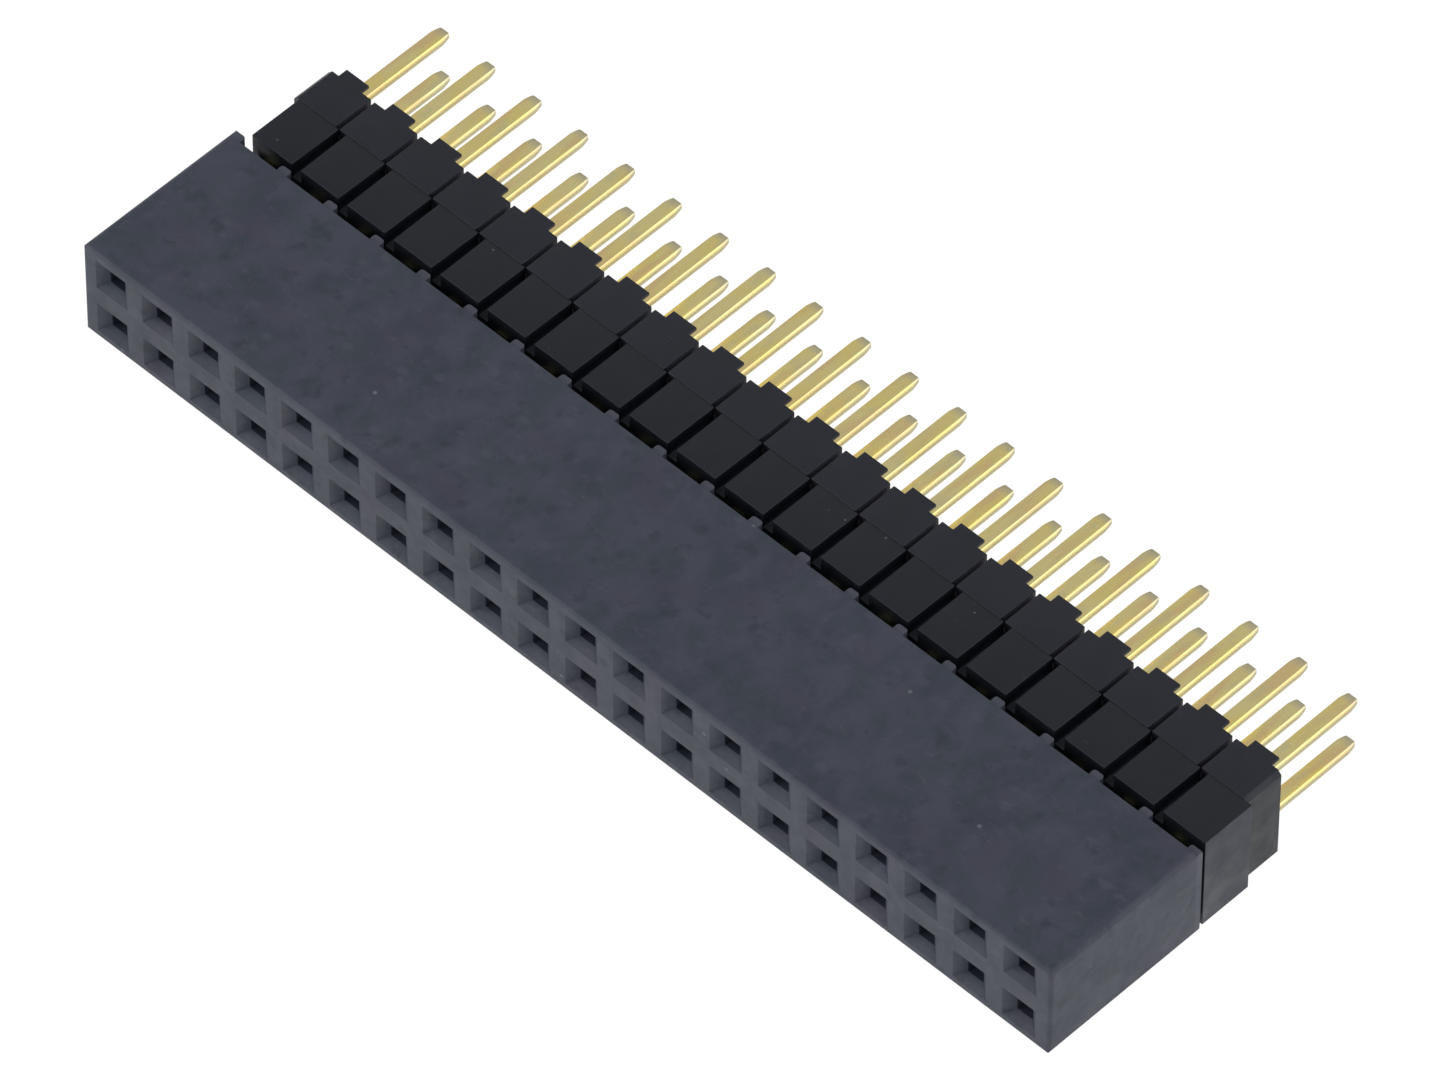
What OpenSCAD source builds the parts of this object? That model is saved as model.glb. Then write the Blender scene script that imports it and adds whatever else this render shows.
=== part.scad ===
// Female pin header strip, two rows at a 2.54 mm pitch, with long tails and two spacer strips.
// It lies on its long side: X runs along the rows, +Y is the way the tails point, +Z is across the rows.
// The origin is at the middle of the footprint, on the surface that the strip lies on.

/* [Pattern] */
// Number of sockets in each row
contacts_per_row = 20; // [2:1:28]
// Distance between neighbouring sockets along a row
pitch = 2.54; // [2.4:0.01:3]
// Distance between the two rows
row_spacing = 2.54; // [2.3:0.01:2.8]

/* [Socket housing] */
// Plastic beyond the last full pitch at each end
end_margin = 0.3; // [0.1:0.05:1]
// Height of the housing across the rows
housing_height = 5; // [4.8:0.05:6]
// Depth from the mating face to the back, between the standoffs
housing_depth = 7.9; // [7:0.1:12]
// Radius of the four long corners of the housing
corner_radius = 0.3; // [0.1:0.05:0.4]
// Radius of the rim round the mating face
face_radius = 0.2; // [0.05:0.05:0.25]
// Width of each lead-in at the mating face, along the row
funnel_width = 1.72; // [1.3:0.02:2]
// Height of each lead-in at the mating face, across the rows
funnel_height = 1.6; // [1.1:0.02:1.7]
// Depth of the sloped part of each lead-in
funnel_depth = 0.36; // [0.2:0.02:0.6]
// Side of the square hole at the bottom of each lead-in
entry_size = 0.8; // [0.7:0.02:1]
// Thickness of the front wall that the entry holes go through
front_wall = 1.2; // [0.8:0.05:1.5]
// Width of the chamber that holds each contact, along the row
chamber_width = 1.56; // [1.4:0.02:1.8]
// Height of the chamber that holds each contact, across the rows
chamber_height = 1.3; // [1.2:0.02:1.6]
// Width of each standoff rib on the back of the housing
standoff_width = 0.52; // [0.3:0.02:0.7]
// How far the standoff ribs stand out of the back of the housing
standoff_length = 0.45; // [0.2:0.05:0.8]
// How far the ribs stop short of the two long sides of the housing
standoff_inset = 0.18; // [0.02:0.02:0.4]
// Radius of the two long corners of each standoff rib
standoff_radius = 0.12; // [0.05:0.01:0.14]

/* [Both spacers] */
// Gap between the standoff ribs and the first spacer
spacer_gap = 0.2; // [0.05:0.05:1.5]
// How far each end of a spacer stays inside the last full pitch
end_relief = 0.12; // [0:0.01:0.3]

/* [Inner spacer] */
// Height of the spacer next to the housing
inner_height = 4.9; // [4.8:0.05:6]
// Thickness of that spacer along the tails
inner_depth = 2.55; // [1.5:0.05:4]
// Width of its notches at the front
inner_notch_width = 0.48; // [0.2:0.02:0.6]
// How much narrower its notches are at the back
inner_notch_taper = 0.06; // [0:0.02:0.14]
// Depth of its notches
inner_notch_depth = 0.75; // [0.3:0.05:0.9]
// Side play of its tail holes, all taken up to one side
inner_play = 0.28; // [0:0.02:0.3]

/* [Outer spacer] */
// Height of the spacer that the tails leave through
outer_height = 4.95; // [4.6:0.05:6]
// Thickness of that spacer along the tails, without its feet
outer_depth = 1.95; // [1.2:0.05:4]
// Width of its notches at the front
outer_notch_width = 0.22; // [0.16:0.02:0.4]
// How much narrower its notches are at the back
outer_notch_taper = 0.04; // [0:0.02:0.12]
// Depth of its notches
outer_notch_depth = 0.7; // [0.3:0.05:0.8]
// Chamfer along its ends
outer_end_chamfer = 0.2; // [0.05:0.01:0.3]
// Width of each thin foot
foot_width = 1.24; // [0.8:0.02:1.6]
// How far the feet stand out of the spacer
foot_length = 0.45; // [0.2:0.05:1]
// Thickness of each foot from the outer face inwards
foot_thickness = 0.16; // [0.1:0.02:0.7]

/* [Contacts] */
// Width of a tail along the row
tail_width = 0.64; // [0.5:0.02:0.8]
// Thickness of a tail, which is the sheet folded double
tail_thickness = 0.4; // [0.3:0.02:0.5]
// Length of tail past the feet of the outer spacer
tail_exposed = 4.8; // [2:0.1:14]
// Length of the tapered tip
tip_length = 0.5; // [0.2:0.05:1]
// Width that the tip tapers down to
tip_width = 0.46; // [0.3:0.02:0.6]
// Thickness that the tip tapers down to
tip_thickness = 0.24; // [0.1:0.02:0.3]
// Length of the barbed shoulder that grips the chamber
shoulder_length = 1; // [0.6:0.05:1.4]
// Length of the sloped lead of the barbs
barb_lead = 0.45; // [0.2:0.05:0.5]
// How far the shoulder sits inside the back of the housing
shoulder_recess = 0.3; // [0.1:0.05:0.6]
// Length of the channel between the shoulder and the two springs
channel_length = 1.3; // [0.8:0.05:1.8]
// Width over the walls of the channel
channel_width = 1.24; // [1.1:0.02:1.3]
// Height of the channel walls above the fold of the sheet
channel_rise = 0.54; // [0.4:0.02:0.56]
// Gap between the springs where they grip a pin
grip_gap = 0.44; // [0.3:0.02:0.56]
// Gap between the springs at their flared tips
flare_gap = 0.8; // [0.6:0.02:0.9]
// Length of the flared tips
flare_length = 0.8; // [0.4:0.05:1.2]
// Straight length of the springs at their root
spring_root = 0.5; // [0.3:0.05:0.8]
// Height of a spring at its tip
spring_tip_height = 0.46; // [0.3:0.02:0.5]
// Sheet left between the fold line and the lower edge of a spring
spring_undercut = 0.06; // [0.02:0.01:0.1]

/* [Clearances] */
// Gap between the spring tips and the front wall
tip_clearance = 0.4; // [0.2:0.05:0.6]
// Gap all round a tail in its spacer hole
tail_clearance = 0.03; // [0.01:0.01:0.06]

/* [Hidden] */
ARC = 32;
EPS = 0.02;
sheet = tail_thickness / 2;
field_length = contacts_per_row * pitch;
housing_length = field_length + 2 * end_margin;
ribs_y = housing_depth + standoff_length;
seat_y = ribs_y + spacer_gap;
joint_y = seat_y + inner_depth;
back_y = joint_y + outer_depth;
feet_y = back_y + foot_length;
total_y = feet_y + tail_exposed;
stand_z = max(housing_height, inner_height, outer_height) / 2;
spacer_length = field_length - 2 * end_relief;
shoulder_back = housing_depth - shoulder_recess;
shoulder_front = shoulder_back - shoulder_length;
spring_y = shoulder_front - channel_length;
spring_tip_y = front_wall + tip_clearance;
grip_y = spring_tip_y + flare_length;
tail_tip_y = total_y - tip_length;
hole_height = tail_thickness + 2 * tail_clearance;
outer_hole_width = tail_width + 2 * tail_clearance;
inner_hole_width = outer_hole_width + 2 * inner_play;
rib_height = housing_height - 2 * standoff_inset;
ROWS = ["lower", "upper"];

function contact_name(row, i) = str("contact_", row, "_", i < 10 ? "0" : "", i);
function contact_x(i) = (i - (contacts_per_row + 1) / 2) * pitch;
function row_side(row) = row == "upper" ? 1 : -1;

// From the axes of the strip itself, with y = 0 at the mating face, to where it lies
module lying() {
  translate([0, -total_y / 2, stand_z]) children();
}

// An outline in X and Z, drawn from y0 to y1
module along_y(y0, y1) {
  translate([0, y1, 0]) rotate([90, 0, 0]) linear_extrude(y1 - y0) children();
}

// An outline in Y and Z, drawn as wide as width and centred on x = 0
module along_x(width) {
  rotate([90, 0, 90]) linear_extrude(width, center = true) children();
}

// Copies on the axis of each contact
module at_each_contact() {
  for (side = [-1, 1])
    for (i = [1 : contacts_per_row])
      translate([contact_x(i), 0, side * row_spacing / 2]) children();
}

// Copies at each line between two neighbouring contacts
module at_each_notch() {
  for (i = [1 : contacts_per_row - 1])
    translate([contact_x(i) + pitch / 2, 0, 0]) children();
}

module rounded_rectangle(width, height, radius) {
  square([width - 2 * radius, height], center = true);
  square([width, height - 2 * radius], center = true);
  for (sx = [-1, 1], sy = [-1, 1])
    translate([sx * (width / 2 - radius), sy * (height / 2 - radius)])
      circle(r = radius, $fn = ARC);
}

// Half of the outline of a block whose front corners are round, from y = 0 to depth
module round_fronted(width, depth, radius) {
  translate([radius, -width / 2]) square([depth - radius, width]);
  translate([0, -width / 2 + radius]) square([radius, width - 2 * radius]);
  for (side = [-1, 1])
    translate([radius, side * (width / 2 - radius)]) circle(r = radius, $fn = ARC);
}

// Sloped lead-in, square entry and contact chamber of one socket
module socket() {
  intersection() {
    linear_extrude(funnel_height + EPS, center = true)
      lead_in(funnel_width, entry_size);
    along_x(funnel_width + EPS)
      lead_in_side(funnel_height, entry_size);
  }
  translate([-entry_size / 2, 0, -entry_size / 2])
    cube([entry_size, front_wall + EPS, entry_size]);
  translate([-chamber_width / 2, front_wall, -chamber_height / 2])
    cube([chamber_width, housing_depth - front_wall + EPS, chamber_height]);
}

module lead_in(outer, inner) {
  polygon([
    [-outer / 2, 0],
    [outer / 2, 0],
    [inner / 2, funnel_depth],
    [-inner / 2, funnel_depth]
  ]);
}

module lead_in_side(outer, inner) {
  polygon([
    [0, -outer / 2],
    [0, outer / 2],
    [funnel_depth, inner / 2],
    [funnel_depth, -inner / 2]
  ]);
}

module housing_block() {
  intersection() {
    along_y(0, housing_depth)
      rounded_rectangle(housing_length, housing_height, corner_radius);
    along_x(housing_length)
      round_fronted(housing_height, housing_depth, face_radius);
    translate([0, 0, -housing_height / 2]) linear_extrude(housing_height)
      rotate(90) round_fronted(housing_length, housing_depth, face_radius);
  }
}

// Ribs across the back, one between each two contacts and one at each end
module standoffs() {
  intersection() {
    along_y(housing_depth - EPS, ribs_y)
      rounded_rectangle(housing_length, housing_height, corner_radius);
    union() {
      at_each_notch() rib(standoff_width);
      for (side = [-1, 1])
        translate([side * (field_length / 2 + end_margin), 0, 0])
          rib(standoff_width + 2 * end_margin);
    }
  }
}

module rib(width) {
  translate([0, ribs_y, -rib_height / 2]) linear_extrude(rib_height)
    rotate(-90) round_fronted(width, standoff_length + EPS, standoff_radius);
}

module housing() {
  color([0.27, 0.29, 0.33]) lying() {
    difference() {
      housing_block();
      at_each_contact() socket();
    }
    standoffs();
  }
}

// Opening for a tail, right through a spacer
module tail_hole(width, y0, y1) {
  translate([-width / 2, y0 - EPS, -hole_height / 2])
    cube([width, y1 - y0 + 2 * EPS, hole_height]);
}

// Notch of a spacer, wide at the front and narrower at the back
module notch(width, taper, depth, y0, y1) {
  linear_extrude(2 * depth, center = true) polygon([
    [-width / 2, y0 - EPS],
    [width / 2, y0 - EPS],
    [width / 2, y0],
    [(width - taper) / 2, y1],
    [(width - taper) / 2, y1 + EPS],
    [(taper - width) / 2, y1 + EPS],
    [(taper - width) / 2, y1],
    [-width / 2, y0]
  ]);
}

module inner_spacer() {
  color([0.15, 0.15, 0.17]) lying() translate([inner_play, 0, 0]) difference() {
    translate([-spacer_length / 2, seat_y, -inner_height / 2])
      cube([spacer_length, inner_depth, inner_height]);
    at_each_contact() tail_hole(inner_hole_width, seat_y, joint_y);
    at_each_notch() for (side = [-1, 1])
      translate([0, 0, side * inner_height / 2])
        notch(inner_notch_width, inner_notch_taper, inner_notch_depth, seat_y, joint_y);
  }
}

// One foot on the back of the outer spacer, above the tail of its unit
module foot() {
  translate([-foot_width / 2, back_y - EPS, outer_height / 2 - foot_thickness])
    cube([foot_width, foot_length + EPS, foot_thickness]);
}

// A rectangle with its four corners cut off
module cut_rectangle(width, height, cut) {
  polygon([
    [width / 2, height / 2 - cut],
    [width / 2 - cut, height / 2],
    [cut - width / 2, height / 2],
    [-width / 2, height / 2 - cut],
    [-width / 2, cut - height / 2],
    [cut - width / 2, -height / 2],
    [width / 2 - cut, -height / 2],
    [width / 2, cut - height / 2]
  ]);
}

module outer_spacer() {
  color([0.16, 0.16, 0.18]) lying() {
    difference() {
      along_y(joint_y, back_y)
        cut_rectangle(spacer_length, outer_height, outer_end_chamfer);
      at_each_contact() tail_hole(outer_hole_width, joint_y, back_y);
      at_each_notch() for (side = [-1, 1])
        translate([0, 0, side * outer_height / 2])
          notch(outer_notch_width, outer_notch_taper, outer_notch_depth, joint_y, back_y);
    }
    for (i = [1 : contacts_per_row])
      translate([contact_x(i), 0, 0]) {
        foot();
        mirror([0, 0, 1]) foot();
      }
  }
}

// Tail and barbed shoulder, cut from the sheet folded double
module tail() {
  intersection() {
    linear_extrude(tail_thickness, center = true) polygon([
      for (side = [1, -1])
        for (point = side > 0 ? tail_side() : reversed(tail_side()))
          [side * point[0], point[1]]
    ]);
    along_x(chamber_width + EPS) polygon([
      [shoulder_front, -tail_thickness / 2],
      [tail_tip_y, -tail_thickness / 2],
      [total_y, -tip_thickness / 2],
      [total_y, tip_thickness / 2],
      [tail_tip_y, tail_thickness / 2],
      [shoulder_front, tail_thickness / 2]
    ]);
  }
}

// Right edge of the tail, from the channel to the tip
function tail_side() = [
  [channel_width / 2, shoulder_front],
  [chamber_width / 2, shoulder_front + barb_lead],
  [chamber_width / 2, shoulder_back],
  [tail_width / 2, shoulder_back],
  [tail_width / 2, tail_tip_y],
  [tip_width / 2, total_y]
];

function reversed(list) = [for (i = [len(list) - 1 : -1 : 0]) list[i]];

// One channel wall and the spring that grows out of it, seen along Z
module spring_plan() {
  polygon([
    [channel_width / 2, shoulder_front + barb_lead / 2],
    [channel_width / 2, spring_y - spring_root],
    [grip_gap / 2 + sheet, grip_y],
    [flare_gap / 2 + sheet, spring_tip_y],
    [flare_gap / 2, spring_tip_y],
    [grip_gap / 2, grip_y],
    [channel_width / 2 - sheet, spring_y - spring_root],
    [channel_width / 2 - sheet, shoulder_front + barb_lead / 2]
  ]);
}

// Channel wall and spring, seen along X
module spring_profile() {
  low = spring_undercut - sheet;
  polygon([
    [shoulder_front + barb_lead / 2, -sheet],
    [shoulder_front + barb_lead / 2, sheet],
    [shoulder_front, channel_rise],
    [spring_y, channel_rise],
    [spring_y - spring_root, low + spring_tip_height + spring_undercut],
    [spring_tip_y, low + spring_tip_height],
    [spring_tip_y, low],
    [spring_y - sheet, low],
    [spring_y, -sheet]
  ]);
}

// One stamped contact: two springs, a channel, a barbed shoulder and a double tail
module contact() {
  tail();
  translate([-channel_width / 2, spring_y, -sheet])
    cube([channel_width, channel_length + EPS, sheet]);
  intersection() {
    along_x(channel_width) spring_profile();
    translate([0, 0, -sheet]) linear_extrude(sheet + channel_rise) {
      spring_plan();
      mirror([1, 0]) spring_plan();
    }
  }
}

module placed_contact(row, i) {
  color([0.82, 0.71, 0.42]) lying()
    translate([contact_x(i), 0, row_side(row) * row_spacing / 2])
      mirror([0, 0, row == "upper" ? 0 : 1]) contact();
}

housing();
inner_spacer();
outer_spacer();
for (row = ROWS)
  for (i = [1 : contacts_per_row])
    placed_contact(row, i);
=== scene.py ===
import math

import bmesh
import bpy
from mathutils import Matrix, Vector


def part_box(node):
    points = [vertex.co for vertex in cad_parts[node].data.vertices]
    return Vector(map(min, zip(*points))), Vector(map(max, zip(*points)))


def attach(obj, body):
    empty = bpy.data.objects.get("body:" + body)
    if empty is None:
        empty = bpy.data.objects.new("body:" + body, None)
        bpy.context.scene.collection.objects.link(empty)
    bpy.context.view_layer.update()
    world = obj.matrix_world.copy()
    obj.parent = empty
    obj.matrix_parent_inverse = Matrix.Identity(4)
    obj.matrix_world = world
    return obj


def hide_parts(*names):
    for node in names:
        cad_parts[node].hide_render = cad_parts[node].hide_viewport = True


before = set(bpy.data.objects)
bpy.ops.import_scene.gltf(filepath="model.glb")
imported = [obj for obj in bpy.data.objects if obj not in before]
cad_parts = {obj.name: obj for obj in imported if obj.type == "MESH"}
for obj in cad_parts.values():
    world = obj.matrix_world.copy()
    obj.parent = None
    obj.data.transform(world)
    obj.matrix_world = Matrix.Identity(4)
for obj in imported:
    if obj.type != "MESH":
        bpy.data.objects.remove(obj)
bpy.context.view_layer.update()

MM = 0.001

# Sizes and places of the solids
PITCH = 2.54 * MM
CONTACTS = 20
ROWS = ("lower", "upper")
TAIL_WIDTH = 0.64 * MM
TAIL_THICKNESS = 0.4 * MM
TIP_LENGTH = 0.5 * MM
HOUSING_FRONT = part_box("housing")[0].y
SHOULDER_BACK = HOUSING_FRONT + 7.6 * MM
HOUSING_BACK = HOUSING_FRONT + 7.9 * MM
RIB_MIDDLE = HOUSING_BACK + 0.2 * MM
END_RIB_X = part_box("housing")[1].x - 0.6 * MM
END_RIB_SHORTER = 0.1 * MM
SPACER_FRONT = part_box("inner_spacer")[0].y
TAIL_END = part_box("contact_upper_01")[1].y
FOLD_Z = {
    "lower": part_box("contact_lower_01")[1].z - TAIL_THICKNESS / 2,
    "upper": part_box("contact_upper_01")[0].z + TAIL_THICKNESS / 2,
}

# Rounding of the edges, and the angles that tell flat, rounded and sharp edges apart
HOUSING_ROUNDING = 0.05 * MM
SPACER_ROUNDING = 0.03 * MM
SHEET_ROUNDING = 0.02 * MM
MOULD_SEGMENTS = 3
SHEET_SEGMENTS = 2
WELD_DISTANCE = 1e-7
FLAT_ANGLE = math.radians(0.4)
ROUNDED_ANGLE = math.radians(28)
SHARP_ANGLE = math.radians(38)

# Rings of a tail, each with its width and thickness as shares of the whole: at the root by the
# distance behind the shoulder, and at the tip by the share of the taper that lies before them
ROOT_RINGS = (
    (-0.1 * MM, 0.97, 0.96),
    (0.05 * MM, 0.97, 0.96),
    (0.15 * MM, 1, 1),
)
TAIL_MIDDLE = 5.0 * MM
TIP_RINGS = (
    (0.0, 1.0, 1.0),
    (0.16, 0.985, 0.96),
    (0.55, 0.90, 0.84),
    (0.88, 0.80, 0.70),
    (1.0, 0.70, 0.58),
)
CORNER_STEPS = 4

# Share of a dot's radius that has its full colour, usual range of the noise, and rays a hollow
# is felt with
DOT_HEART = 0.4
NOISE_RANGE = (0.3, 0.7)
HOLLOW_SAMPLES = 8

# The rib colour of the grey is painted light.
GREY = {
    "base": (0.0305, 0.0390, 0.0585),
    "clouds": (0.0360, 0.0485, 0.0655),
    "patches": (0.050, 0.0555, 0.080),
    "violet": (0.046, 0.043, 0.070),
    "stains": (0.024, 0.031, 0.046),
    "smears": (0.068, 0.070, 0.094),
    "dabs": (0.066, 0.075, 0.098),
    "dots": (0.020, 0.027, 0.040),
    "specks": (0.13, 0.135, 0.16),
    "ribs": (0.085, 0.088, 0.112),
}
# In both blacks, the pale colour deep in the notches is painted light, and the end-face colour is
# painted light on the inner spacer and painted shade on the outer one.
INNER_BLACK = {
    "base": (0.0050, 0.0062, 0.0100),
    "clouds": (0.0065, 0.0075, 0.0115),
    "painted_notch_light": (0.11, 0.12, 0.155),
    "painted_end_shading": (0.026, 0.028, 0.040),
    "specular": 0.46,
}
OUTER_BLACK = {
    "base": (0.0110, 0.0118, 0.0165),
    "clouds": (0.0135, 0.0135, 0.0195),
    "painted_notch_light": (0.075, 0.075, 0.10),
    "painted_end_shading": (0.0068, 0.0073, 0.0110),
    "specular": 0.45,
}
BLACK_SCRATCHES = (0.05, 0.052, 0.06)
BLACK_SPECKS = (0.09, 0.092, 0.10)
BLACK_GLOSS_TINT = (0.87, 0.92, 1.0, 1)
# The edge and root colours of the gold are painted shade.
GOLD = {
    "base": (0.97, 0.80, 0.29),
    "clouds": (0.94, 0.81, 0.37),
    "brown": (0.90, 0.68, 0.33),
    "tarnish": (0.80, 0.73, 0.39),
    "specks": (0.66, 0.58, 0.40),
    "tips": (0.66, 0.62, 0.44),
    "painted_edge_shade": (0.52, 0.47, 0.28),
    "painted_root_shade": (0.33, 0.34, 0.17),
}

FLOOR_HALF = 3.0
FLOOR_DROP = 0.02 * MM
FLOOR_COLOUR = (0.85, 0.83, 0.78, 1)
FLOOR_WHITE = 1.14
FLOOR_WHITE_SHARE = 0.85
FLOOR_MIRRORED_SHARE = 0.92

ROOM_STRENGTH = 0.11
ROOM_COLOUR = (1, 1, 1.03, 1)
# Direction towards each soft light, its strength and its colour
SOFT_AREAS = (
    ((-0.44, 0.47, 0.77), 0.40, (1, 1, 1.02)),
    ((-0.76, -0.64, 0.13), 1.85, (1, 1, 1.03)),
    ((0.75, 0.60, 0.12), 1.52, (0.98, 1, 1.04)),
    ((0.45, -0.87, 0.20), 0.42, (1, 1, 1.03)),
)
# Cosines between which a soft light grows from nothing to its full strength
AREA_RIM, AREA_HEART = 0.45, 0.97

CAMERA_SENSOR = 36.0
CAMERA_LENS = 381.103
CAMERA_CLIP = (0.01, 10.0)
CAMERA_PLACE = (0.259473, -0.270361, 0.449092)
CAMERA_TURN = (39.88934, -0.20295, 44.09488)


def new_material(name):
    """An empty material, its node tree, and its Principled shader wired to the output."""
    material = bpy.data.materials.new(name)
    material.use_nodes = True
    tree = material.node_tree
    tree.nodes.clear()
    output = tree.nodes.new("ShaderNodeOutputMaterial")
    shader = tree.nodes.new("ShaderNodeBsdfPrincipled")
    tree.links.new(shader.outputs[0], output.inputs["Surface"])
    return material, tree, shader


def place(tree, stretch=(1, 1, 1)):
    """The point on the part in millimetres; a small stretch draws a pattern out along its axis."""
    coordinates = tree.nodes.new("ShaderNodeTexCoord")
    mapping = tree.nodes.new("ShaderNodeMapping")
    mapping.inputs["Scale"].default_value = [s / MM for s in stretch]
    tree.links.new(coordinates.outputs["Object"], mapping.inputs["Vector"])
    return mapping.outputs[0]


def position(tree, axis):
    """How far along X, Y or Z (0, 1, 2) the point lies, in metres."""
    coordinates = tree.nodes.new("ShaderNodeTexCoord")
    split = tree.nodes.new("ShaderNodeSeparateXYZ")
    tree.links.new(coordinates.outputs["Object"], split.inputs[0])
    return split.outputs[axis]


def noise(tree, vector, scale, detail=2.0, roughness=0.5, distortion=0.0):
    """Smooth noise around 0.5, with scale features to a unit of vector."""
    n = tree.nodes.new("ShaderNodeTexNoise")
    n.inputs["Scale"].default_value = scale
    n.inputs["Detail"].default_value = detail
    n.inputs["Roughness"].default_value = roughness
    n.inputs["Distortion"].default_value = distortion
    tree.links.new(vector, n.inputs["Vector"])
    return n.outputs[0]


def ramp(tree, value, low, high, out_low=0.0, out_high=1.0, smooth=True):
    """value taken from low..high to out_low..out_high."""
    n = tree.nodes.new("ShaderNodeMapRange")
    n.interpolation_type = "SMOOTHSTEP" if smooth else "LINEAR"
    numbers = (low, high, out_low, out_high)
    for key, number in zip(("From Min", "From Max", "To Min", "To Max"), numbers):
        n.inputs[key].default_value = number
    tree.links.new(value, n.inputs["Value"])
    return n.outputs[0]


def mix(tree, factor, a, b):
    """Colour a where factor is 0 and b where it is 1; each is a colour or an output."""
    n = tree.nodes.new("ShaderNodeMix")
    n.data_type = "RGBA"
    tree.links.new(factor, n.inputs[0])
    for socket, colour in ((n.inputs[6], a), (n.inputs[7], b)):
        if isinstance(colour, bpy.types.NodeSocket):
            tree.links.new(colour, socket)
        else:
            socket.default_value = (*colour, 1)
    return n.outputs[2]


def maths(tree, operation, a, b):
    """The result of an operation on two values; each is a number or an output."""
    n = tree.nodes.new("ShaderNodeMath")
    n.operation = operation
    for socket, value in ((n.inputs[0], a), (n.inputs[1], b)):
        if isinstance(value, bpy.types.NodeSocket):
            tree.links.new(value, socket)
        else:
            socket.default_value = value
    return n.outputs[0]


def bump(tree, height, distance, strength, normal=None):
    """A normal bent by a height pattern, laid over another bent normal if one is given."""
    n = tree.nodes.new("ShaderNodeBump")
    n.inputs["Distance"].default_value = distance
    n.inputs["Strength"].default_value = strength
    tree.links.new(height, n.inputs["Height"])
    if normal is not None:
        tree.links.new(normal, n.inputs["Normal"])
    return n.outputs[0]


def specks(tree, vector, scale, size, kept):
    """1 in small round dots, of which only the share kept is drawn."""
    cells = tree.nodes.new("ShaderNodeTexVoronoi")
    cells.inputs["Scale"].default_value = scale
    tree.links.new(vector, cells.inputs["Vector"])
    dot = ramp(tree, cells.outputs["Distance"], size, size * DOT_HEART)
    split = tree.nodes.new("ShaderNodeSeparateColor")
    tree.links.new(cells.outputs["Color"], split.inputs[0])
    chosen = maths(tree, "LESS_THAN", split.outputs[0], kept)
    return maths(tree, "MULTIPLY", dot, chosen)


def openness(tree, distance):
    """1 on open faces, towards 0 deep in a hollow of the piece itself."""
    hollow = tree.nodes.new("ShaderNodeAmbientOcclusion")
    hollow.samples = HOLLOW_SAMPLES
    hollow.only_local = True
    hollow.inputs["Distance"].default_value = distance
    return hollow.outputs["AO"]


def clouded(tree, colour, tint, low, high, share=1.0, stretch=(1, 1, 1), **pattern):
    """colour with soft clouds of tint, which begin at low in the noise and are full at high."""
    clouds = noise(tree, place(tree, stretch), **pattern)
    return mix(tree, ramp(tree, clouds, low, high, out_high=share), colour, tint)


def dotted(tree, colour, tint, scale, size, kept, share=1.0, stretch=(1, 1, 1)):
    """colour with round dots of tint."""
    dots = specks(tree, place(tree, stretch), scale, size, kept)
    return mix(tree, maths(tree, "MULTIPLY", dots, share), colour, tint)


def set_roughness(tree, shader, pattern, low, high):
    """Roughness that follows a noise pattern from low to high."""
    rough = ramp(tree, pattern, *NOISE_RANGE, low, high, smooth=False)
    tree.links.new(rough, shader.inputs["Roughness"])


def set_unevenness(tree, shader, grain, waves):
    """Fine grain on slow waves; each is given as the scale of its noise, height and strength."""
    point = place(tree)
    scale, height, strength = grain
    fine = bump(tree, noise(tree, point, scale, detail=3, roughness=0.6), height, strength)
    scale, height, strength = waves
    both = bump(tree, noise(tree, point, scale), height, strength, fine)
    tree.links.new(both, shader.inputs["Normal"])


def housing_material():
    """Matt dark grey plastic: mottled, with painted light making each rib at its back paler, and
    without gloss in hollows.
    """
    material, tree, shader = new_material("moulded_dark_grey")
    colour = clouded(
        tree, GREY["base"], GREY["clouds"], 0.36, 0.64,
        scale=0.30, detail=3, roughness=0.55, distortion=0.5,
    )
    colour = clouded(
        tree, colour, GREY["patches"], 0.36, 0.66, stretch=(1, 0.7, 1),
        scale=0.85, detail=4, roughness=0.6, distortion=0.3,
    )
    colour = clouded(
        tree, colour, GREY["violet"], 0.54, 0.70, share=0.6, stretch=(0.8, 1, 0.9), scale=0.42,
    )
    colour = clouded(
        tree, colour, GREY["stains"], 0.56, 0.74, share=0.85,
        scale=1.15, detail=3, roughness=0.6, distortion=0.2,
    )
    colour = clouded(
        tree, colour, GREY["smears"], 0.60, 0.76, share=0.6, stretch=(1, 1.6, 1),
        scale=1.9, distortion=0.8,
    )
    colour = dotted(
        tree, colour, GREY["dabs"], scale=0.8, size=0.30, kept=0.35, share=0.45,
        stretch=(1, 1.3, 1),
    )
    colour = dotted(
        tree, colour, GREY["dots"], scale=0.7, size=0.26, kept=0.30, share=0.55,
        stretch=(1.2, 1, 1),
    )
    colour = dotted(tree, colour, GREY["specks"], scale=0.8, size=0.10, kept=0.20)
    # Painted light: what lies behind the housing's back face is painted paler, as if each rib
    # caught the light.
    rib_foot = HOUSING_BACK + 0.1 * MM
    on_ribs = ramp(tree, position(tree, 1), HOUSING_BACK, rib_foot, out_high=0.6)
    colour = mix(tree, on_ribs, colour, GREY["ribs"])
    tree.links.new(colour, shader.inputs["Base Color"])
    rough = noise(tree, place(tree), 1.3, detail=4, roughness=0.6)
    set_roughness(tree, shader, rough, 0.50, 0.62)
    gloss = ramp(tree, openness(tree, 1.2 * MM), 0.6, 0.98, out_low=0.05, out_high=0.5)
    tree.links.new(gloss, shader.inputs["Specular IOR Level"])
    set_unevenness(tree, shader, grain=(6, 0.010 * MM, 0.6), waves=(0.8, 0.05 * MM, 0.5))
    return material


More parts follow.
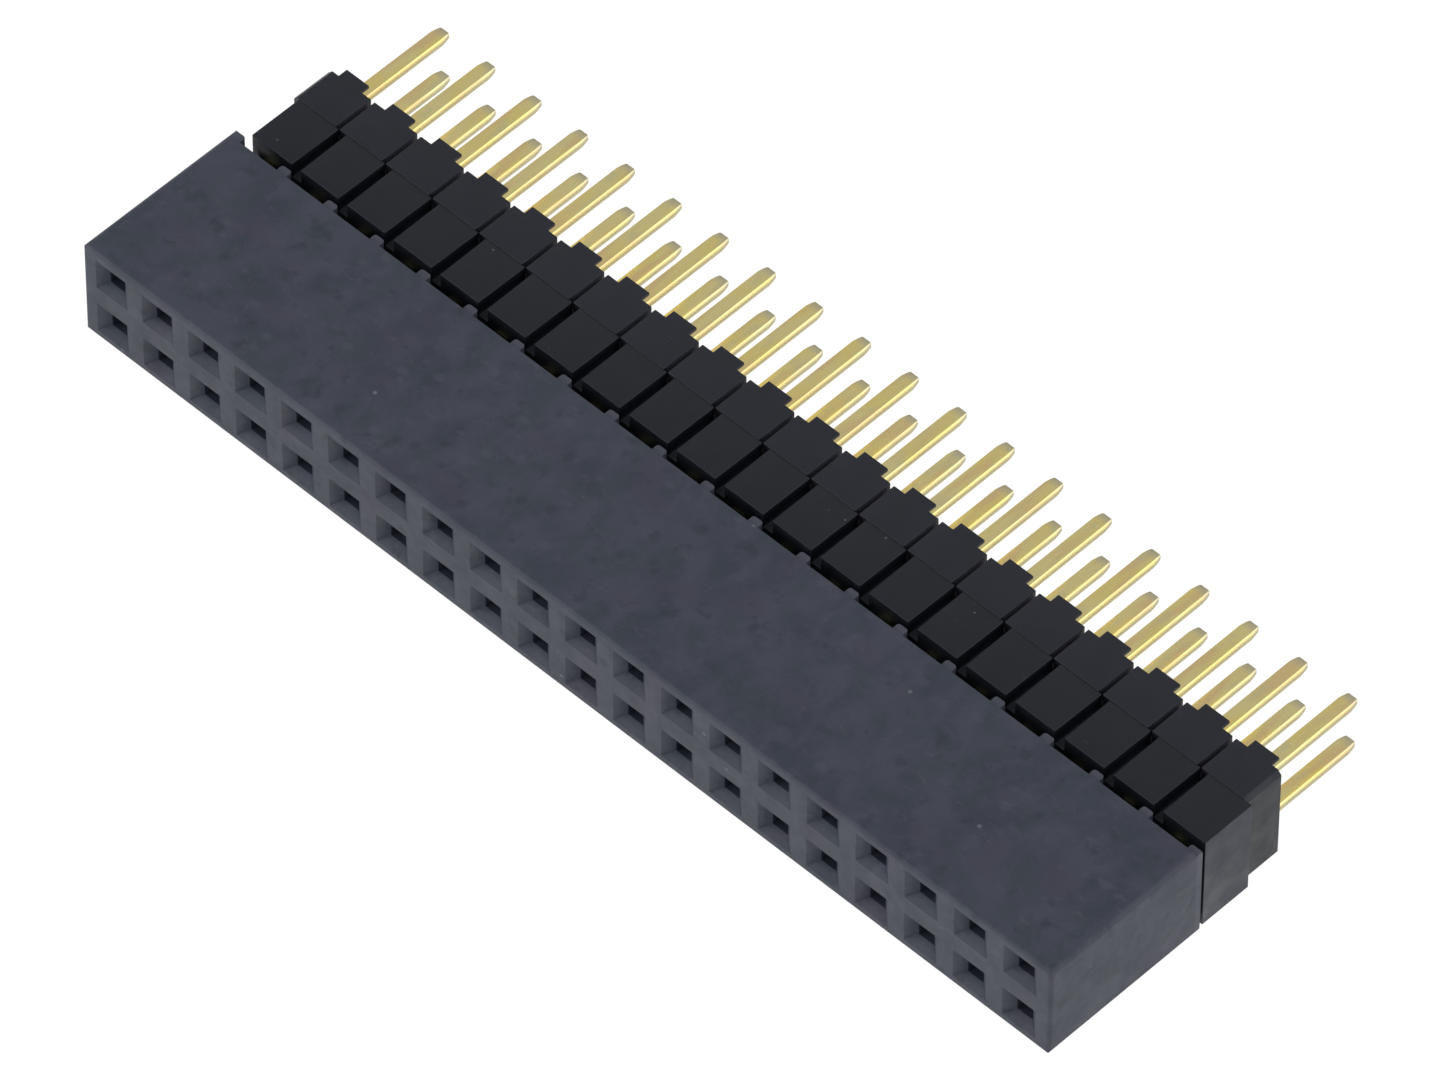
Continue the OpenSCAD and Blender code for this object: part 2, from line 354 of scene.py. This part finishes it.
def spacer_material(node, look):
    """Black plastic: painted light makes it paler deep in the notches, and its end faces are
    painted in another tone, as painted light and shade.
    """
    material, tree, shader = new_material(node + "_black")
    colour = clouded(
        tree, look["base"], look["clouds"], 0.38, 0.64, scale=0.7, detail=3, distortion=0.5,
    )
    colour = clouded(
        tree, colour, BLACK_SCRATCHES, 0.72, 0.80, share=0.35, stretch=(0.9, 7.0, 1),
        scale=1.3, roughness=0.4, distortion=1.2,
    )
    colour = dotted(tree, colour, BLACK_SPECKS, scale=1.2, size=0.08, kept=0.12)
    # Painted light: deep in the notches the black is painted much paler, so the shade there reads
    # lighter.
    notch_light_share = ramp(tree, openness(tree, 0.5 * MM), 0.65, 0.25)
    colour = mix(tree, notch_light_share, colour, look["painted_notch_light"])
    # Painted light and shade on the end faces: painted lighter on the inner spacer and darker on
    # the outer one.
    low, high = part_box(node)
    offset = maths(tree, "SUBTRACT", position(tree, 0), (low.x + high.x) / 2)
    from_middle = maths(tree, "ABSOLUTE", offset, 0)
    end = (high.x - low.x) / 2
    on_ends = ramp(tree, from_middle, end - 0.02 * MM, end - 0.005 * MM)
    colour = mix(tree, on_ends, colour, look["painted_end_shading"])
    tree.links.new(colour, shader.inputs["Base Color"])
    set_roughness(tree, shader, noise(tree, place(tree), 1.2, detail=3), 0.40, 0.56)
    shader.inputs["Specular IOR Level"].default_value = look["specular"]
    shader.inputs["Specular Tint"].default_value = BLACK_GLOSS_TINT
    set_unevenness(tree, shader, grain=(8, 0.008 * MM, 0.5), waves=(0.9, 0.04 * MM, 0.5))
    return material


def sheet_edge(tree):
    """1 on the cut edge of the lower layer of a tail, which faces +X below the seam, where painted
    shade darkens the tail.
    """
    geometry = tree.nodes.new("ShaderNodeNewGeometry")
    normal = tree.nodes.new("ShaderNodeSeparateXYZ")
    tree.links.new(geometry.outputs["Normal"], normal.inputs[0])
    above_lower_row = maths(tree, "SUBTRACT", position(tree, 2), FOLD_Z["lower"])
    above_own_row = maths(tree, "WRAP", above_lower_row, PITCH / 2)
    above_own_row.node.inputs[2].default_value = -PITCH / 2
    below = ramp(tree, above_own_row, 0.03 * MM, -0.03 * MM)
    outward = ramp(tree, normal.outputs[0], 0.45, 0.75)
    return maths(tree, "MULTIPLY", below, outward)


def tail_tip(tree):
    """1 at the very end of a tail, 0 from a little before its taper starts."""
    return ramp(tree, position(tree, 1), TAIL_END - 1.1 * TIP_LENGTH, TAIL_END - 0.2 * TIP_LENGTH)


def tail_root(tree):
    """1 on the part of a contact that lies in the housing and in the gap behind it."""
    return ramp(tree, position(tree, 1), SPACER_FRONT + 0.3 * MM, SPACER_FRONT)


def gold_material():
    """Gold plate drawn out along the tails, browned and tarnished in places, dull at the tips, with
    painted shade on the lower sheet edge and on the part in and behind the housing.
    """
    material, tree, shader = new_material("gold_plate")
    shader.inputs["Metallic"].default_value = 1.0
    drawn = noise(tree, place(tree, (2.2, 0.35, 2.2)), 0.9)
    colour = clouded(
        tree, GOLD["base"], GOLD["clouds"], 0.36, 0.64, stretch=(1, 0.5, 1), scale=0.9,
    )
    colour = mix(tree, ramp(tree, drawn, 0.46, 0.66, out_high=0.85), colour, GOLD["brown"])
    colour = clouded(
        tree, colour, GOLD["tarnish"], 0.54, 0.70, share=0.7, stretch=(1.6, 0.6, 1.6),
        scale=1.1, detail=3,
    )
    colour = dotted(tree, colour, GOLD["specks"], scale=0.9, size=0.10, kept=0.12)
    colour = mix(tree, maths(tree, "MULTIPLY", tail_tip(tree), 0.75), colour, GOLD["tips"])
    # Painted shade: the lower layer's +X side is painted darker, standing in for a darker
    # reflection.
    colour = mix(tree, sheet_edge(tree), colour, GOLD["painted_edge_shade"])
    # Painted shade: the part of each contact in the housing and in the gap behind it is painted
    # dark, where shade falls between the parts.
    colour = mix(tree, tail_root(tree), colour, GOLD["painted_root_shade"])
    tree.links.new(colour, shader.inputs["Base Color"])
    set_roughness(tree, shader, drawn, 0.22, 0.30)
    return material


def new_object(name, data):
    """A mesh or camera as an object of the scene."""
    item = bpy.data.objects.new(name, data)
    bpy.context.scene.collection.objects.link(item)
    return item


def apply_modifiers(piece):
    """Put the mesh that the modifiers give in place of the object's own."""
    depsgraph = bpy.context.evaluated_depsgraph_get()
    mesh = bpy.data.meshes.new_from_object(piece.evaluated_get(depsgraph))
    piece.modifiers.clear()
    piece.data = mesh


def shorten_end_rib(shape):
    """The rib at the housing's +X end stops short of the others, with a wider gap behind it."""
    for vertex in shape.verts:
        if vertex.co.x > END_RIB_X and vertex.co.y > RIB_MIDDLE:
            vertex.co.y -= END_RIB_SHORTER


def cut_off_behind(shape, y):
    """Take away what lies behind y and close the cut."""
    everything = shape.verts[:] + shape.edges[:] + shape.faces[:]
    cut = bmesh.ops.bisect_plane(
        shape, geom=everything, plane_co=(0, y, 0), plane_no=(0, 1, 0), clear_outer=True,
    )
    rim = [edge for edge in cut["geom_cut"] if isinstance(edge, bmesh.types.BMEdge)]
    bmesh.ops.contextual_create(shape, geom=rim)


def softened(node, name, radius, segments, cut_at=None):
    """A copy of a CAD node whose edges are really rounded, in place of the sharp ones."""
    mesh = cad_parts[node].data.copy()
    piece = new_object(name, mesh)
    shape = bmesh.new()
    shape.from_mesh(mesh)
    bmesh.ops.remove_doubles(shape, verts=shape.verts, dist=WELD_DISTANCE)
    bmesh.ops.dissolve_limit(
        shape, angle_limit=FLAT_ANGLE, verts=shape.verts, edges=shape.edges,
        use_dissolve_boundaries=False,
    )
    if node == "housing":
        shorten_end_rib(shape)
    if cut_at is not None:
        cut_off_behind(shape, cut_at)
    for face in shape.faces:
        face.smooth = True
    shape.to_mesh(mesh)
    shape.free()
    rounding = piece.modifiers.new("rounding", "BEVEL")
    rounding.width = radius
    rounding.segments = segments
    rounding.limit_method = "ANGLE"
    rounding.angle_limit = ROUNDED_ANGLE
    rounding.harden_normals = True
    rounding.use_clamp_overlap = True
    apply_modifiers(piece)
    return piece


def rounded_corner(x, z, radius, start):
    """A quarter circle from the angle start, in place of the sharp corner at x, z."""
    step = 90 / CORNER_STEPS
    turns = [math.radians(start + step * i) for i in range(CORNER_STEPS + 1)]
    middle_x = x - math.copysign(radius, x)
    middle_z = z - math.copysign(radius, z)
    return [(middle_x + radius * math.cos(t), middle_z + radius * math.sin(t)) for t in turns]


def tail_section(width, thickness):
    """Outline of a tail in X and Z: the fold at -X, two sheet edges and their seam at +X."""
    half, top = width / 2, thickness / 2
    small, large = top * 0.2, top * 0.5
    groove = top * 0.14
    seam_depth = 1.6 * groove
    return [
        *rounded_corner(half, top, large, 0),
        *rounded_corner(-half, top, small, 90),
        *rounded_corner(-half, -top, small, 180),
        *rounded_corner(half, -top, small, 270),
        (half, -groove), (half - seam_depth, 0.0), (half, groove),
    ]


def tail_mesh(centre_x, centre_z, end_y):
    """The folded tail of one contact, from inside its shoulder to the tapered tip."""
    stations = [(SHOULDER_BACK + distance, w, h) for distance, w, h in ROOT_RINGS]
    stations.append((TAIL_MIDDLE, 1, 1))
    stations += [(end_y - TIP_LENGTH * (1 - t), w, h) for t, w, h in TIP_RINGS]
    shape = bmesh.new()
    rings = []
    for y, w, h in stations:
        section = tail_section(TAIL_WIDTH * w, TAIL_THICKNESS * h)
        rings.append([shape.verts.new((centre_x + x, y, centre_z + z)) for x, z in section])
    count = len(rings[0])
    for near, far in zip(rings, rings[1:]):
        for i in range(count):
            shape.faces.new((near[i], near[(i + 1) % count], far[(i + 1) % count], far[i]))
    shape.faces.new(rings[0][::-1])
    shape.faces.new(rings[-1])
    bmesh.ops.recalc_face_normals(shape, faces=shape.faces)
    mesh = bpy.data.meshes.new("tail")
    shape.to_mesh(mesh)
    shape.free()
    return mesh


def contact_pattern(row):
    """The first contact of a row: springs, channel and shoulder from the CAD, and a folded tail."""
    node = f"contact_{row}_01"
    low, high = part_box(node)
    front = softened(node, "front", SHEET_ROUNDING, SHEET_SEGMENTS, cut_at=SHOULDER_BACK)
    tail = new_object("tail", tail_mesh((low.x + high.x) / 2, FOLD_Z[row], high.y))
    union = front.modifiers.new("union", "BOOLEAN")
    union.operation = "UNION"
    union.solver = "EXACT"
    union.object = tail
    apply_modifiers(front)
    mesh = front.data
    for part in (front, tail):
        bpy.data.objects.remove(part)
    mesh.polygons.foreach_set("use_smooth", [True] * len(mesh.polygons))
    mesh.set_sharp_from_angle(angle=SHARP_ANGLE)
    return mesh


def dress(piece, material, node):
    """Give a piece its material and slot, and put it in the place of its CAD node."""
    piece.data.materials.clear()
    piece.data.materials.append(material)
    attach(piece, "root")
    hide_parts(node)


def build_mouldings():
    """The housing and the two spacers."""
    for node, rounding, material in (
        ("housing", HOUSING_ROUNDING, housing_material()),
        ("inner_spacer", SPACER_ROUNDING, spacer_material("inner_spacer", INNER_BLACK)),
        ("outer_spacer", SPACER_ROUNDING, spacer_material("outer_spacer", OUTER_BLACK)),
    ):
        piece = softened(node, node + "_moulding", rounding, MOULD_SEGMENTS)
        dress(piece, material, node)


def build_contacts():
    """Both rows of contacts, each row from one pattern."""
    gold = gold_material()
    for row in ROWS:
        pattern = contact_pattern(row)
        for number in range(1, CONTACTS + 1):
            node = f"contact_{row}_{number:02d}"
            mesh = pattern.copy()
            mesh.transform(Matrix.Translation(((number - 1) * PITCH, 0, 0)))
            dress(new_object(node + "_gold", mesh), gold, node)


def floor_material():
    """Plain pale floor: white to the camera and in reflections, with the part's soft shadow kept.

    It is clear from below, so that the underside can be seen.
    """
    material = bpy.data.materials.new("pale_floor")
    material.use_nodes = True
    tree = material.node_tree
    tree.nodes.clear()
    output = tree.nodes.new("ShaderNodeOutputMaterial")
    matt = tree.nodes.new("ShaderNodeBsdfDiffuse")
    matt.inputs["Color"].default_value = FLOOR_COLOUR
    white = tree.nodes.new("ShaderNodeEmission")
    white.inputs["Strength"].default_value = FLOOR_WHITE
    rays = tree.nodes.new("ShaderNodeLightPath")
    mirrored = maths(tree, "MULTIPLY", rays.outputs["Is Glossy Ray"], FLOOR_MIRRORED_SHARE)
    seen = maths(tree, "MAXIMUM", rays.outputs["Is Camera Ray"], mirrored)
    seen = maths(tree, "MAXIMUM", seen, rays.outputs["Is Transmission Ray"])
    share = maths(tree, "MULTIPLY", seen, FLOOR_WHITE_SHARE)
    from_above = tree.nodes.new("ShaderNodeMixShader")
    tree.links.new(share, from_above.inputs[0])
    tree.links.new(matt.outputs[0], from_above.inputs[1])
    tree.links.new(white.outputs[0], from_above.inputs[2])
    side = tree.nodes.new("ShaderNodeNewGeometry")
    clear = tree.nodes.new("ShaderNodeBsdfTransparent")
    both = tree.nodes.new("ShaderNodeMixShader")
    tree.links.new(side.outputs["Backfacing"], both.inputs[0])
    tree.links.new(from_above.outputs[0], both.inputs[1])
    tree.links.new(clear.outputs[0], both.inputs[2])
    tree.links.new(both.outputs[0], output.inputs["Surface"])
    return material


def build_floor():
    """A large square just below the part."""
    corners = ((-1, -1), (1, -1), (1, 1), (-1, 1))
    mesh = bpy.data.meshes.new("floor")
    mesh.from_pydata(
        [(x * FLOOR_HALF, y * FLOOR_HALF, -FLOOR_DROP) for x, y in corners], [], [(0, 1, 2, 3)],
    )
    mesh.materials.append(floor_material())
    new_object("floor", mesh)


def soft_area(tree, direction, strength, colour):
    """A large soft light in the sky, brightest in this direction and fading out to all sides."""
    coordinates = tree.nodes.new("ShaderNodeTexCoord")
    towards = tree.nodes.new("ShaderNodeVectorMath")
    towards.operation = "DOT_PRODUCT"
    towards.inputs[1].default_value = Vector(direction).normalized()
    tree.links.new(coordinates.outputs["Generated"], towards.inputs[0])
    light = tree.nodes.new("ShaderNodeBackground")
    light.inputs["Color"].default_value = (*colour, 1)
    level = ramp(tree, towards.outputs["Value"], AREA_RIM, AREA_HEART, out_high=strength)
    tree.links.new(level, light.inputs["Strength"])
    return light.outputs[0]


def build_world():
    """A dim studio with four large soft lights; the camera sees it white."""
    world = bpy.data.worlds.new("studio")
    bpy.context.scene.world = world
    world.use_nodes = True
    tree = world.node_tree
    tree.nodes.clear()
    output = tree.nodes.new("ShaderNodeOutputWorld")
    dim = tree.nodes.new("ShaderNodeBackground")
    dim.inputs["Strength"].default_value = ROOM_STRENGTH
    dim.inputs["Color"].default_value = ROOM_COLOUR
    room = dim.outputs[0]
    for direction, strength, colour in SOFT_AREAS:
        both = tree.nodes.new("ShaderNodeAddShader")
        tree.links.new(room, both.inputs[0])
        tree.links.new(soft_area(tree, direction, strength, colour), both.inputs[1])
        room = both.outputs[0]
    white = tree.nodes.new("ShaderNodeBackground")
    white.inputs["Strength"].default_value = 1.0
    rays = tree.nodes.new("ShaderNodeLightPath")
    blend = tree.nodes.new("ShaderNodeMixShader")
    tree.links.new(rays.outputs["Is Camera Ray"], blend.inputs[0])
    tree.links.new(room, blend.inputs[1])
    tree.links.new(white.outputs[0], blend.inputs[2])
    tree.links.new(blend.outputs[0], output.inputs["Surface"])


def build_camera():
    """The photograph's viewing angle, found from the pitch of the sockets and tails."""
    camera = bpy.data.cameras.new("camera")
    camera.sensor_fit = "HORIZONTAL"
    camera.sensor_width = CAMERA_SENSOR
    camera.lens = CAMERA_LENS
    camera.clip_start, camera.clip_end = CAMERA_CLIP
    holder = new_object("camera", camera)
    holder.location = CAMERA_PLACE
    holder.rotation_euler = [math.radians(turn) for turn in CAMERA_TURN]
    bpy.context.scene.camera = holder


build_mouldings()
build_contacts()
build_floor()
build_world()
build_camera()

bpy.context.scene.view_settings.view_transform = "Standard"
